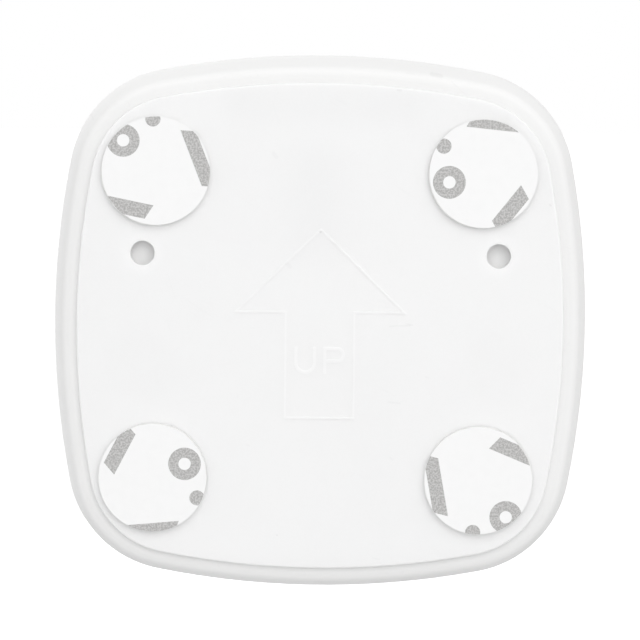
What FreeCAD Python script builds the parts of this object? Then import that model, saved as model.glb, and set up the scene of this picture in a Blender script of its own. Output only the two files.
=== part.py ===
import FreeCAD, Part
import math
import os
from types import SimpleNamespace

import Sketcher
from FreeCAD import Placement, Rotation, Vector

# A stick-on motion sensor night light, in millimetres. +Z is up on the wall, +Y points into the
# wall and y = 0 is the wall itself, where the four adhesive discs end. The origin is the middle
# of the rounded square on that plane. Depth is counted from the wall towards the room, along -Y.

SIZES = {
    # rounded square outline: side arcs tangent to corner arcs, shared by every inset of it
    "outline_half": 40.0,
    "side_arc_radius": 127.0,
    "corner_arc_radius": 16.9,
    # mounting plate that stays on the wall
    "rim_width": 3.85,
    "plate_thick": 2.0,
    "plate_proud": 1.0,
    "plate_edge_round": 0.3,
    "plate_lap": 0.8,
    "plate_rim_gap": 0.01,
    "plate_edge_gap": 0.2,
    "plate_back_gap": 0.18,
    # adhesive foam discs and their release liners, the insets counted from the lamp's outline
    "pad_side_inset": 15.8,
    "pad_end_inset": 17.3,
    "pad_shift": 0.36,
    "pad_rise": 0.18,
    "pad_radius": 8.0,
    "pad_thick": 1.0,
    "liner_thick": 0.12,
    "liner_slip": 0.12,
    # countersunk wall screw holes
    "wall_hole_inset": 13.6,
    "wall_hole_z": 10.75,
    "wall_hole_radius": 1.8,
    "wall_sink_radius": 3.2,
    # raised arrow and letters
    "mark_raise": 0.12,
    "arrow_tip": 14.5,
    "arrow_base": 2.2,
    "arrow_head_half": 12.5,
    "arrow_shaft_half": 5.1,
    "arrow_foot": 13.6,
    "arrow_line": 0.28,
    "letter_width": 3.2,
    "letter_height": 4.0,
    "letter_top": 3.0,
    "letter_stroke": 0.45,
    "letter_space": 1.1,
    "bowl_radius": 1.15,
    # magnets in the lamp and steel discs in the plate
    "magnet_z": 6.0,
    "magnet_radius": 5.0,
    "magnet_thick": 2.0,
    "strike_thick": 0.8,
    "glue_gap": 0.05,
    # rear shell
    "rear_depth": 10.0,
    "rear_round_width": 3.3,
    "rear_edge_radius": 2.0,
    "shell_wall": 1.8,
    "floor_thick": 1.6,
    "floor_overlap": 0.5,
    "tongue_height": 1.5,
    "tongue_thick": 1.05,
    "tongue_gap": 0.15,
    "tub_wall": 1.2,
    "boss_wall": 1.2,
    "boss_drop": 0.9,
    "rib_half": 1.3,
    "rib_height": 1.75,
    # front shell
    "seam_gap": 0.15,
    "front_round_width": 4.8,
    "front_edge_radius": 2.5,
    "front_lip": 1.7,
    "front_wall_step": 0.4,
    "ledge_width": 2.15,
    "ledge_thick": 1.2,
    "ledge_gap": 0.8,
    # diffuser
    "diffuser_inset": 6.9,
    "diffuser_gap": 0.25,
    "diffuser_height": 5.0,
    "diffuser_wall": 1.4,
    "diffuser_edge_radius": 3.6,
    # cells and their contacts
    "cell_radius": 5.2,
    "cell_length": 44.5,
    "nub_radius": 1.9,
    "nub_height": 0.9,
    "cell_gap": 0.3,
    "cell_back_gap": 0.4,
    "contact_thick": 0.4,
    "contact_half_width": 4.0,
    "contact_dimple": 0.4,
    "tab_half_width": 1.2,
    "slot_gap": 0.1,
    "spring_length": 3.5,
    "spring_wire_radius": 0.25,
    "spring_base_radius": 3.6,
    "spring_top_radius": 2.2,
    "spring_turns": 3.0,
    # circuit board
    "board_inset": 13.0,
    "board_corner_radius": 12.0,
    "board_thick": 1.2,
    "board_gap": 1.0,
    "board_tongue_half": 8.0,
    "post_radius": 2.6,
    "post_gap": 1.2,
    "post_z": 13.0,
    "led_ring_radius": 19.5,
    "led_length": 3.5,
    "led_width": 2.8,
    "led_height": 0.8,
    "led_well_radius": 1.1,
    "led_well_depth": 0.2,
    # chips, capacitors and resistors on the side of the board that faces the tub
    "part_column_gap": 1.0,
    "chip_width": 3.9,
    "chip_length": 4.9,
    "chip_height": 1.5,
    "chip_lift": 0.1,
    "chip_z": 2.0,
    "leg_pitch": 1.27,
    "leg_width": 0.4,
    "leg_reach": 1.05,
    "leg_height": 0.7,
    "capacitor_radius": 2.0,
    "capacitor_height": 5.4,
    "capacitor_drop": 5.5,
    "resistor_length": 2.0,
    "resistor_width": 1.2,
    "resistor_height": 0.5,
    "resistor_upper_z": 7.5,
    "resistor_lower_z": 3.5,
    # screws
    "screw_radius": 1.0,
    "screw_head_radius": 2.0,
    "screw_head_height": 1.4,
    "screw_cross_reach": 1.2,
    "screw_cross_half": 0.3,
    "screw_cross_depth": 0.7,
    "screw_fit_gap": 0.06,
    "screw_hole_gap": 0.25,
    "case_screw_inset": 13.0,
    "case_screw_length": 12.0,
    "board_screw_length": 8.0,
    "head_cover": 0.4,
    # reflector tray
    "tray_inset": 11.0,
    "tray_corner_radius": 15.0,
    "tray_thick": 1.0,
    "tray_gap": 0.7,
    "tray_wall": 1.2,
    "tray_rise": 1.6,
    "tray_hole_gap": 0.3,
    # motion sensor, its lens and the shroud round it
    "shroud_bore": 8.5,
    "shroud_wall": 1.0,
    "bezel_radius": 14.0,
    "bezel_thick": 0.8,
    "bezel_sink": 0.5,
    "lip_thick": 1.3,
    "lens_radius": 7.3,
    "lens_wall": 0.6,
    "lens_flange_thick": 0.8,
    "lens_gap": 0.2,
    "header_radius": 4.6,
    "header_thick": 0.7,
    "can_radius": 4.1,
    "can_height": 3.5,
    "can_wall": 0.3,
    "window_half": 1.7,
    "pin_radius": 0.23,
    "pin_circle": 2.54,
    "pin_tail": 0.5,
    # ambient light sensor
    "pipe_place": 12.0,
    "pipe_radius": 1.0,
    "eye_radius": 1.4,
    "eye_height": 1.9,
    # mode slide switch
    "switch_inset": 5.0,
    "switch_half": 4.3,
    "switch_length": 4.8,
    "switch_height": 3.0,
    "lever_half": 0.75,
    "lever_reach": 1.9,
    "lever_root": 2.3,
    "lever_socket": 1.5,
    "slide_travel": 2.0,
    "slide_gap": 0.3,
    "knob_half": 2.1,
    "knob_thick": 2.1,
    "knob_recess": 0.6,
    "knob_flange_half": 6.9,
    "knob_flange_lap": 0.6,
    "knob_flange_thick": 0.6,
    "knob_flange_inset": 3.6,
}


class Size:
    """A length that carries its number and its formula in the sheet."""

    def __init__(self, number, formula):
        self.number = number
        self.formula = formula

    def joined(self, sign, other, swap=False):
        other = as_size(other)
        first, second = (other, self) if swap else (self, other)
        numbers = {
            "+": lambda a, b: a + b,
            "-": lambda a, b: a - b,
            "*": lambda a, b: a * b,
            "/": lambda a, b: a / b,
        }
        number = numbers[sign](first.number, second.number)
        return Size(number, f"({first.formula} {sign} {second.formula})")

    def __add__(self, other):
        return self.joined("+", other)

    def __radd__(self, other):
        return self.joined("+", other, swap=True)

    def __sub__(self, other):
        return self.joined("-", other)

    def __rsub__(self, other):
        return self.joined("-", other, swap=True)

    def __mul__(self, other):
        return self.joined("*", other)

    def __rmul__(self, other):
        return self.joined("*", other, swap=True)

    def __truediv__(self, other):
        return self.joined("/", other)

    def __neg__(self):
        return self.joined("*", -1)


def as_size(value):
    """The value as a Size, where it may be a plain number."""
    return value if isinstance(value, Size) else Size(value, f"({value})")


def root_of(value):
    """Square root of a Size."""
    return Size(math.sqrt(value.number), f"sqrt({value.formula})")


document = FreeCAD.newDocument("NightLight")
sheet = document.addObject("Spreadsheet::Sheet", "Sizes")
for row, (name, number) in enumerate(SIZES.items(), start=1):
    sheet.set(f"A{row}", str(number))
    sheet.setAlias(f"A{row}", name)
document.recompute()
size = SimpleNamespace(**{name: Size(number, f"Sizes.{name}") for name, number in SIZES.items()})

# Depths of the layers, from the wall to the room.
plate_back = size.liner_thick + size.pad_thick
plate_front = plate_back + size.plate_thick
ring = plate_back + size.plate_proud
recess = plate_front + size.plate_back_gap
floor = recess + size.floor_thick
parting = ring + size.rear_depth
cell_axis = recess + size.cell_back_gap + size.cell_radius
bay_floor = cell_axis + size.cell_radius + size.cell_back_gap
tub_front = bay_floor + size.tub_wall
board_back = tub_front + size.board_gap
board_front = board_back + size.board_thick
tray_back = board_front + size.tray_gap
tray_front = tray_back + size.tray_thick
ledge_back = tray_front + size.ledge_gap
ledge_front = ledge_back + size.ledge_thick
front_rim = ledge_front + size.front_lip
diffuser_front = ledge_front + size.diffuser_height
bezel_back = diffuser_front - size.bezel_sink
bezel_front = bezel_back + size.bezel_thick
lip_back = bezel_front - size.lip_thick

# Places across the lamp that several pieces share.
core_inset = size.rim_width + size.plate_lap
pad_x = size.outline_half - size.pad_side_inset
pad_z = size.outline_half - size.pad_end_inset
wall_hole_x = size.outline_half - size.wall_hole_inset
case_screw_place = size.outline_half - size.case_screw_inset
tray_half = size.outline_half - size.tray_inset
cell_pitch = size.cell_radius * 2 + size.cell_gap
bay_half_x = cell_pitch + size.cell_radius + size.cell_gap
end_stack = size.spring_length + size.contact_dimple + size.contact_thick * 2
bay_half_z = (size.cell_length + end_stack) / 2
tub_half_x = bay_half_x + size.tub_wall
tub_half_z = bay_half_z + size.tub_wall
post_x = tub_half_x + size.post_radius + size.post_gap
board_half = size.outline_half - size.board_inset
shroud_radius = size.shroud_bore + size.shroud_wall
switch_front = size.outline_half - size.switch_inset
slide_depth = board_back - size.switch_height / 2
magnet_pocket = size.magnet_radius + size.glue_gap
magnet_boss = magnet_pocket + size.boss_wall
pilot_radius = size.screw_radius + size.screw_fit_gap
shaft_hole = size.screw_radius + size.screw_hole_gap
head_well = size.screw_head_radius + size.screw_hole_gap
well_depth = size.screw_head_height + size.head_cover
boss_meet = parting - size.boss_drop
case_boss = head_well + size.boss_wall
front_boss = pilot_radius + size.boss_wall
both_ways = (-1, 1)

pieces = []


def place(thing, x=0, depth=0, z=0):
    """Tie the thing's Placement to sizes."""
    for path, value in (("x", x), ("y", -as_size(depth)), ("z", z)):
        thing.setExpression(f"Placement.Base.{path}", as_size(value).formula)


def new_body(label):
    """An empty body that becomes one piece."""
    body = document.addObject("PartDesign::Body", label)
    body.Label = label
    pieces.append(body)
    return body


def origin_feature(body, role):
    """The body's own origin plane or axis of that role."""
    return next(part for part in body.Origin.OriginFeatures if part.Role == role)


def new_sketch(body, role, offset=0, seen_from_wall=False):
    """A sketch on an origin plane, moved along its normal; on XZ the normal points to the room."""
    drawing = body.newObject("Sketcher::SketchObject", "Sketch")
    drawing.AttachmentSupport = [(origin_feature(body, role), "")]
    drawing.MapMode = "FlatFace"
    if seen_from_wall:
        drawing.AttachmentOffset = Placement(Vector(0, 0, 0), Rotation(Vector(0, 1, 0), 180))
    drawing.setExpression("AttachmentOffset.Base.z", as_size(offset).formula)
    return drawing


def hold(drawing, kind, elements, value):
    """Add one dimension to the sketch, tied to a size."""
    value = as_size(value)
    index = drawing.addConstraint(Sketcher.Constraint(kind, *elements, value.number))
    drawing.setExpression(f"Constraints[{index}]", value.formula)


def pin(drawing, element, point, x, y):
    """Hold a point of the sketch at a place from its origin."""
    hold(drawing, "DistanceX", (-1, 1, element, point), x)
    hold(drawing, "DistanceY", (-1, 1, element, point), y)


def circle(drawing, x, y, radius):
    """Draw a circle."""
    x, y, radius = as_size(x), as_size(y), as_size(radius)
    shape = Part.Circle(Vector(x.number, y.number, 0), Vector(0, 0, 1), radius.number)
    index = drawing.addGeometry(shape, False)
    pin(drawing, index, 3, x, y)
    hold(drawing, "Radius", (index,), radius)


def loop(drawing, corners, bends=None):
    """Draw a closed outline; bends names the sides that are arcs, with centre and turn."""
    bends = bends or {}
    corners = [(as_size(x), as_size(y)) for x, y in corners]
    count = len(corners)
    first = drawing.GeometryCount
    ends = []
    for side in range(count):
        a, b = (Vector(x.number, y.number, 0) for x, y in (corners[side], corners[(side + 1) % count]))
        if side not in bends:
            drawing.addGeometry(Part.LineSegment(a, b), False)
            ends.append((1, 2))
            continue
        x, y, turn = bends[side]
        centre = Vector(as_size(x).number, as_size(y).number, 0)
        start, stop = (a, b) if turn > 0 else (b, a)
        angles = [math.atan2(p.y - centre.y, p.x - centre.x) for p in (start, stop)]
        if angles[1] <= angles[0]:
            angles[1] += 2 * math.pi
        full = Part.Circle(centre, Vector(0, 0, 1), (a - centre).Length)
        drawing.addGeometry(Part.ArcOfCircle(full, *angles), False)
        ends.append((1, 2) if turn > 0 else (2, 1))
    for side in range(count):
        after = (side + 1) % count
        joint = (first + side, ends[side][1], first + after, ends[after][0])
        drawing.addConstraint(Sketcher.Constraint("Coincident", *joint))
        pin(drawing, first + side, ends[side][0], *corners[side])
    for side, (x, y, turn) in bends.items():
        (ax, ay), (bx, by) = corners[side], corners[(side + 1) % count]
        upright = abs(ax.number - bx.number) < abs(ay.number - by.number)
        kind, value = ("DistanceX", x) if upright else ("DistanceY", y)
        hold(drawing, kind, (-1, 1, first + side, 3), value)


def rectangle(drawing, x0, y0, x1, y1):
    """Draw a rectangle between two corners."""
    loop(drawing, [(x0, y0), (x1, y0), (x1, y1), (x0, y1)])


def round_square(drawing, half, radius):
    """Draw a square with round corners about the sketch's origin."""
    flat = half - radius
    corners = [
        (half, -flat), (half, flat), (flat, half), (-flat, half),
        (-half, flat), (-half, -flat), (-flat, -half), (flat, -half),
    ]
    bends = {1: (flat, flat, 1), 3: (-flat, flat, 1), 5: (-flat, -flat, 1), 7: (flat, -flat, 1)}
    loop(drawing, corners, bends)


def outline(drawing, inset=0):
    """Draw the lamp's rounded square, drawn in by the inset."""
    inset = as_size(inset)
    centre = size.side_arc_radius - size.outline_half
    reach = size.side_arc_radius - size.corner_arc_radius
    # The corner centre is as far from a side arc's centre as the two radii differ.
    bulge = centre.number
    corner = (math.sqrt(2 * reach.number ** 2 - bulge ** 2) - bulge) / 2
    swing = math.atan2(corner, corner + bulge)
    side_radius = size.side_arc_radius - inset
    corner_radius = size.corner_arc_radius - inset
    for quarter in range(4):
        turn = quarter * math.pi / 2
        turned = Rotation(Vector(0, 0, 1), math.degrees(turn))
        side = Part.Circle(turned * Vector(-bulge, 0, 0), Vector(0, 0, 1), side_radius.number)
        bend = Part.Circle(turned * Vector(corner, corner, 0), Vector(0, 0, 1), corner_radius.number)
        drawing.addGeometry(Part.ArcOfCircle(side, turn - swing, turn + swing), False)
        drawing.addGeometry(Part.ArcOfCircle(bend, turn + swing, turn + math.pi / 2 - swing), False)
    for arc in range(8):
        drawing.addConstraint(Sketcher.Constraint("Tangent", arc, 2, (arc + 1) % 8, 1))
        hold(drawing, "Radius", (arc,), corner_radius if arc % 2 else side_radius)
    for arc, x, y in ((0, -centre, 0), (2, 0, -centre), (4, centre, 0), (6, 0, centre)):
        pin(drawing, arc, 3, x, y)


def shell_section(drawing, rim_x, rim_depth, meet, edge_radius, inner, to_room):
    """Draw a wall section: from the seam the outside curves in to an edge and a flat rim."""
    width = size.outline_half.number - rim_x.number
    height = abs(rim_depth.number - meet.number)
    edge = edge_radius.number
    side = (width ** 2 + (height - edge) ** 2 - edge ** 2) / (2 * (width - edge))
    sign = -1 if to_room else 1
    lean = math.asin((height - edge) / (side - edge))
    side_centre = Vector(size.outline_half.number - side, -meet.number, 0)
    edge_centre = Vector(rim_x.number, -rim_depth.number - sign * edge, 0)
    upward = Vector(0, 0, 1)
    side_angles = sorted((0, sign * lean))
    edge_angles = sorted((sign * lean, sign * math.pi / 2))
    drawing.addGeometry(Part.ArcOfCircle(Part.Circle(side_centre, upward, side), *side_angles), False)
    drawing.addGeometry(Part.ArcOfCircle(Part.Circle(edge_centre, upward, edge), *edge_angles), False)
    begin, end = (2, 1) if to_room else (1, 2)
    corners = [(rim_x, -rim_depth)] + inner + [(size.outline_half, -meet)]
    points = [Vector(as_size(x).number, as_size(y).number, 0) for x, y in corners]
    for here, there in zip(points, points[1:]):
        drawing.addGeometry(Part.LineSegment(here, there), False)
    last = len(points)
    drawing.addConstraint(Sketcher.Constraint("Tangent", 0, end, 1, begin))
    drawing.addConstraint(Sketcher.Constraint("Tangent", 1, end, 2, 1))
    for line in range(2, last):
        drawing.addConstraint(Sketcher.Constraint("Coincident", line, 2, line + 1, 1))
    drawing.addConstraint(Sketcher.Constraint("Coincident", last, 2, 0, begin))
    for line, (x, y) in enumerate(corners[:-1], start=2):
        pin(drawing, line, 1, x, y)
    pin(drawing, 0, begin, size.outline_half, -meet)
    hold(drawing, "DistanceY", (-1, 1, 0, 3), -meet)
    hold(drawing, "Radius", (1,), edge_radius)


def pad(body, drawing, length):
    """Raise the sketch along its normal."""
    feature = body.newObject("PartDesign::Pad", "Pad")
    feature.Profile = drawing
    feature.setExpression("Length", as_size(length).formula)
    return feature


def pocket(body, drawing, length, against_normal=False):
    """Cut the sketch away along its normal, or against it, and see that something went."""
    document.recompute()
    before = body.Shape.Volume
    feature = body.newObject("PartDesign::Pocket", "Pocket")
    feature.Profile = drawing
    feature.Reversed = not against_normal
    feature.setExpression("Length", as_size(length).formula)
    document.recompute()
    if not body.Shape.Volume < before:
        raise ValueError(f"{body.Label}: {feature.Name} cuts nothing")
    return feature


def revolve(body, drawing):
    """Turn the sketch a full turn about its own upright axis."""
    feature = body.newObject("PartDesign::Revolution", "Revolution")
    feature.Profile = drawing
    feature.ReferenceAxis = (drawing, ["V_Axis"])
    feature.Angle = 360
    return feature


def sweep_round(body, rim_x, rim_depth, meet, edge_radius, inner, to_room):
    """Sweep a wall section round the lamp's outline."""
    path = new_sketch(body, "XZ_Plane")
    outline(path)
    section = new_sketch(body, "XY_Plane")
    shell_section(section, rim_x, rim_depth, meet, edge_radius, inner, to_room)
    feature = body.newObject("PartDesign::AdditivePipe", "Wall")
    feature.Profile = section
    feature.Spine = (path, [f"Edge{number}" for number in range(1, 9)])
    document.recompute()
    return feature


def at_depth(box, depth):
    """Whether a bounding box is flat and lies at the depth."""
    return abs(box.YMax + depth.number) < 1e-4 and abs(box.YMin + depth.number) < 1e-4


def level_edges(shape, depth):
    """Names of the edges that lie at one depth."""
    return [
        f"Edge{index}" for index, edge in enumerate(shape.Edges, start=1)
        if at_depth(edge.BoundBox, depth)
    ]


def fillet(body, base, edges, radius):
    """Round the named edges of the feature."""
    feature = body.newObject("PartDesign::Fillet", "Fillet")
    feature.Base = (base, edges)
    feature.setExpression("Radius", as_size(radius).formula)
    return feature


def mirror(body, originals, roles):
    """Repeat features across origin planes, one after another."""
    multi = body.newObject("PartDesign::MultiTransform", "Mirrors")
    multi.Originals = originals
    steps = []
    for role in roles:
        step = document.addObject("PartDesign::Mirrored", "Mirrored")
        step.MirrorPlane = (origin_feature(body, role), [""])
        steps.append(step)
    multi.Transformations = steps
    body.Tip = multi
    return multi


def disc(label, x, depth, z, radius, thick):
    """A round flat piece whose back face lies at the depth."""
    piece = document.addObject("Part::Cylinder", label)
    piece.Label = label
    piece.Placement.Rotation = Rotation(Vector(1, 0, 0), 90)
    piece.setExpression("Radius", as_size(radius).formula)
    piece.setExpression("Height", as_size(thick).formula)
    place(piece, x, depth, z)
    pieces.append(piece)
    return piece


def block(label, x0, x1, depth0, depth1, z0, z1):
    """A plain box between its faces."""
    piece = document.addObject("Part::Box", label)
    piece.Label = label
    piece.setExpression("Length", (as_size(x1) - x0).formula)
    piece.setExpression("Width", (as_size(depth1) - depth0).formula)
    piece.setExpression("Height", (as_size(z1) - z0).formula)
    place(piece, x0, depth1, z0)
    pieces.append(piece)
    return piece


def arrow(drawing, grow):
    """Draw the arrow's outline, grown or shrunk by the amount."""
    rise = size.arrow_tip - size.arrow_base
    slant = root_of(size.arrow_head_half * size.arrow_head_half + rise * rise)
    tip = size.arrow_tip + grow * slant / size.arrow_head_half
    base = size.arrow_base - grow
    wing = size.arrow_head_half * (tip - base) / rise
    shaft = size.arrow_shaft_half + grow
    foot = -size.arrow_foot - grow
    right = [(wing, base), (shaft, base), (shaft, foot)]
    left = [(-x, y) for x, y in reversed(right)]
    loop(drawing, [(0, tip)] + right + left)


def letter_u(drawing, middle):
    """Draw a plain U about its middle line."""
    half = size.letter_width / 2
    inner = half - size.letter_stroke
    top = -size.letter_top
    turn = top - size.letter_height + half
    corners = [
        (middle - half, top), (middle - half, turn), (middle + half, turn), (middle + half, top),
        (middle + inner, top), (middle + inner, turn), (middle - inner, turn), (middle - inner, top),
    ]
    loop(drawing, corners, {1: (middle, turn, 1), 5: (middle, turn, -1)})


def letter_p(drawing, left):
    """Draw a plain P from its stem's left side, with the hole of its bowl."""
    stroke = size.letter_stroke
    top = -size.letter_top
    foot = top - size.letter_height
    under = top - size.bowl_radius * 2
    centre = left + size.letter_width - size.bowl_radius
    middle = top - size.bowl_radius
    corners = [
        (left, top), (left, foot), (left + stroke, foot),
        (left + stroke, under), (centre, under), (centre, top),
    ]
    loop(drawing, corners, {4: (centre, middle, 1)})
    hole = [
        (left + stroke, under + stroke), (centre, under + stroke),
        (centre, top - stroke), (left + stroke, top - stroke),
    ]
    loop(drawing, hole, {1: (centre, middle, 1)})


def mounting_plate():
    """Plate that stays on the wall: its edge laps over the shell's rim, its core fills the recess."""
    body = new_body("mounting_plate")
    face = new_sketch(body, "XZ_Plane", plate_back)
    outline(face, size.rim_width)
    lid = pad(body, face, size.plate_proud - size.plate_rim_gap)
    document.recompute()
    fillet(body, lid, level_edges(lid.Shape, plate_back), size.plate_edge_round)
    core_back = plate_back + size.plate_proud / 2
    core = new_sketch(body, "XZ_Plane", core_back)
    outline(core, core_inset)
    pad(body, core, plate_front - core_back)
    marks = new_sketch(body, "XZ_Plane", plate_back, seen_from_wall=True)
    arrow(marks, size.arrow_line / 2)
    arrow(marks, -size.arrow_line / 2)
    pad(body, marks, size.mark_raise)
    letters = new_sketch(body, "XZ_Plane", plate_back, seen_from_wall=True)
    letter_u(letters, -(size.letter_width + size.letter_space) / 2)
    letter_p(letters, size.letter_space / 2)
    pad(body, letters, size.mark_raise)
    holes = new_sketch(body, "XZ_Plane", plate_front)
    for side in both_ways:
        circle(holes, wall_hole_x * side, size.wall_hole_z, size.wall_hole_radius)
    document.recompute()
    drilled = body.newObject("PartDesign::Hole", "WallHoles")
    drilled.Profile = holes
    drilled.DepthType = "ThroughAll"
    drilled.ThreadType = "None"
    drilled.HoleCutType = "Countersink"
    drilled.HoleCutCustomValues = True
    drilled.HoleCutCountersinkAngle = 90
    drilled.setExpression("Diameter", (size.wall_hole_radius * 2).formula)
    drilled.setExpression("HoleCutDiameter", (size.wall_sink_radius * 2).formula)
    seats = new_sketch(body, "XZ_Plane", plate_front)
    for side in both_ways:
        circle(seats, wall_hole_x * side, -size.magnet_z, magnet_pocket)
    pocket(body, seats, size.strike_thick, against_normal=True)


def wall_side_pieces():
    """Foam discs, release liners and the steel discs that the magnets hold."""
    corners = ((1, 1), (-1, 1), (1, -1), (-1, -1))
    for number, (across, up) in enumerate(corners, start=1):
        x, z = pad_x * across + size.pad_shift, pad_z * up + size.pad_rise
        disc(f"adhesive_pad_{number}", x, size.liner_thick, z, size.pad_radius, size.pad_thick)
        slip = size.liner_slip * up
        disc(f"release_liner_{number}", x - slip, 0, z + slip, size.pad_radius, size.liner_thick)
    for number, side in enumerate((1, -1), start=1):
        depth = plate_front - size.strike_thick
        x, z = wall_hole_x * side, -size.magnet_z
        disc(f"strike_disc_{number}", x, depth, z, size.magnet_radius, size.strike_thick)
        disc(f"magnet_{number}", x, recess, z, size.magnet_radius, size.magnet_thick)


def rear_shell():
    """Rear half of the lamp: recess for the plate, battery tub, magnet seats, posts and bosses."""
    body = new_body("rear_shell")
    core_half = size.outline_half - core_inset
    mouth = core_half + size.plate_edge_gap
    overlap = core_half - size.floor_overlap
    tongue = size.outline_half - size.shell_wall - size.tongue_gap
    inside = tongue - size.tongue_thick
    tip = parting + size.tongue_height
    inner = [
        (mouth, -ring), (mouth, -recess), (overlap, -recess), (overlap, -floor), (inside, -floor),
        (inside, -tip), (tongue, -tip), (tongue, -parting),
    ]
    rim_x = size.outline_half - size.rear_round_width
    sweep_round(body, rim_x, ring, parting, size.rear_edge_radius, inner, to_room=False)
    base = new_sketch(body, "XZ_Plane", recess)
    outline(base, core_inset)
    pad(body, base, size.floor_thick)
    tub = new_sketch(body, "XZ_Plane", recess)
    rectangle(tub, -tub_half_x, -tub_half_z, tub_half_x, tub_half_z)
    pad(body, tub, tub_front - recess)
    seats = new_sketch(body, "XZ_Plane", recess)
    for side in both_ways:
        circle(seats, wall_hole_x * side, -size.magnet_z, magnet_boss)
    pad(body, seats, size.magnet_thick + size.boss_wall)
    posts = new_sketch(body, "XZ_Plane", recess)
    bosses = new_sketch(body, "XZ_Plane", recess)
    for across in both_ways:
        for up in both_ways:
            circle(posts, post_x * across, size.post_z * up, size.post_radius)
            circle(bosses, case_screw_place * across, case_screw_place * up, case_boss)
    pad(body, posts, board_back - recess)
    pad(body, bosses, boss_meet - recess)

    bay = new_sketch(body, "XZ_Plane", recess)
    rectangle(bay, -bay_half_x, -bay_half_z, bay_half_x, bay_half_z)
    pocket(body, bay, bay_floor - recess)
    magnets = new_sketch(body, "XZ_Plane", recess)
    for side in both_ways:
        circle(magnets, wall_hole_x * side, -size.magnet_z, magnet_pocket)
    pocket(body, magnets, size.magnet_thick)
    pilots = new_sketch(body, "XZ_Plane", board_back)
    wells = new_sketch(body, "XZ_Plane", recess)
    shafts = new_sketch(body, "XZ_Plane", recess)
    for across in both_ways:
        for up in both_ways:
            circle(pilots, post_x * across, size.post_z * up, pilot_radius)
            x, z = case_screw_place * across, case_screw_place * up
            circle(wells, x, z, head_well)
            circle(shafts, x, z, shaft_hole)
    pocket(body, pilots, size.board_screw_length, against_normal=True)
    pocket(body, wells, well_depth)
    pocket(body, shafts, boss_meet - recess)
    slots = new_sketch(body, "XZ_Plane", bay_floor)
    for x, z in ((cell_pitch, 1), (-cell_pitch, -1)):
        inner_z = (bay_half_z - size.contact_thick - size.slot_gap) * z
        half = size.tab_half_width + size.slot_gap
        rectangle(slots, x - half, inner_z, x + half, bay_half_z * z)
    pocket(body, slots, size.tub_wall)
    ribs = new_sketch(body, "XY_Plane", -bay_half_z / 2)
    for side in both_ways:
        middle = cell_pitch / 2 * side
        loop(ribs, [
            (middle - size.rib_half, -bay_floor), (middle + size.rib_half, -bay_floor),
            (middle, -(bay_floor - size.rib_height)),
        ])
    pad(body, ribs, bay_half_z)


def front_shell():
    """Front half: outer wall with its rim, the ledge under the diffuser and four screw bosses."""
    body = new_body("front_shell")
    inside = size.outline_half - size.shell_wall
    step = parting + size.tongue_height + size.front_wall_step
    seat = size.outline_half - size.diffuser_inset + size.diffuser_gap
    ledge = seat - size.ledge_width
    meet = parting + size.seam_gap
    inner = [
        (seat, -front_rim), (seat, -ledge_front), (ledge, -ledge_front), (ledge, -ledge_back),
        (inside - size.shell_wall, -ledge_back), (inside, -step), (inside, -meet),
    ]
    rim_x = size.outline_half - size.front_round_width
    sweep_round(body, rim_x, front_rim, meet, size.front_edge_radius, inner, to_room=True)
    start = boss_meet + size.tongue_gap
    bosses = new_sketch(body, "XZ_Plane", start)
    pilots = new_sketch(body, "XZ_Plane", start)
    for across in both_ways:
        for up in both_ways:
            x, z = case_screw_place * across, case_screw_place * up
            circle(bosses, x, z, front_boss)
            circle(pilots, x, z, pilot_radius)
    pad(body, bosses, ledge_front - start)
    reach = recess + well_depth + size.case_screw_length - start
    pocket(body, pilots, reach + size.slide_gap)
    opening = new_sketch(body, "XY_Plane", -size.outline_half - size.shell_wall)
    half = size.knob_half + size.slide_travel + size.slide_gap
    thick = size.knob_thick / 2 + size.slide_gap
    rectangle(opening, -half, -(slide_depth + thick), half, -(slide_depth - thick))
    pocket(body, opening, size.board_inset)


def diffuser():
    """Opal cup that glows, seated on the ledge, with a round opening for the motion sensor."""
    body = new_body("diffuser")
    face = new_sketch(body, "XZ_Plane", ledge_front)
    outline(face, size.diffuser_inset)
    slab = pad(body, face, size.diffuser_height)
    document.recompute()
    soft = fillet(body, slab, level_edges(slab.Shape, diffuser_front), size.diffuser_edge_radius)
    document.recompute()
    back = [
        f"Face{index}" for index, side in enumerate(soft.Shape.Faces, start=1)
        if abs(side.BoundBox.YMin + ledge_front.number) < 1e-4
    ]
    hollow = body.newObject("PartDesign::Thickness", "Hollow")
    hollow.Base = (soft, back)
    hollow.setExpression("Value", size.diffuser_wall.formula)
    hollow.Reversed = True
    hollow.Join = 0
    document.recompute()
    seat = new_sketch(body, "XZ_Plane", bezel_back)
    circle(seat, 0, 0, size.bezel_radius + size.diffuser_gap)
    pocket(body, seat, size.diffuser_height)
    holes = new_sketch(body, "XZ_Plane", ledge_front)
    circle(holes, 0, 0, shroud_radius + size.diffuser_gap)
    pocket(body, holes, size.diffuser_height)
    eye = new_sketch(body, "XZ_Plane", ledge_front)
    circle(eye, 0, -size.pipe_place, size.pipe_radius + size.diffuser_gap)
    pocket(body, eye, size.diffuser_height)


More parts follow.
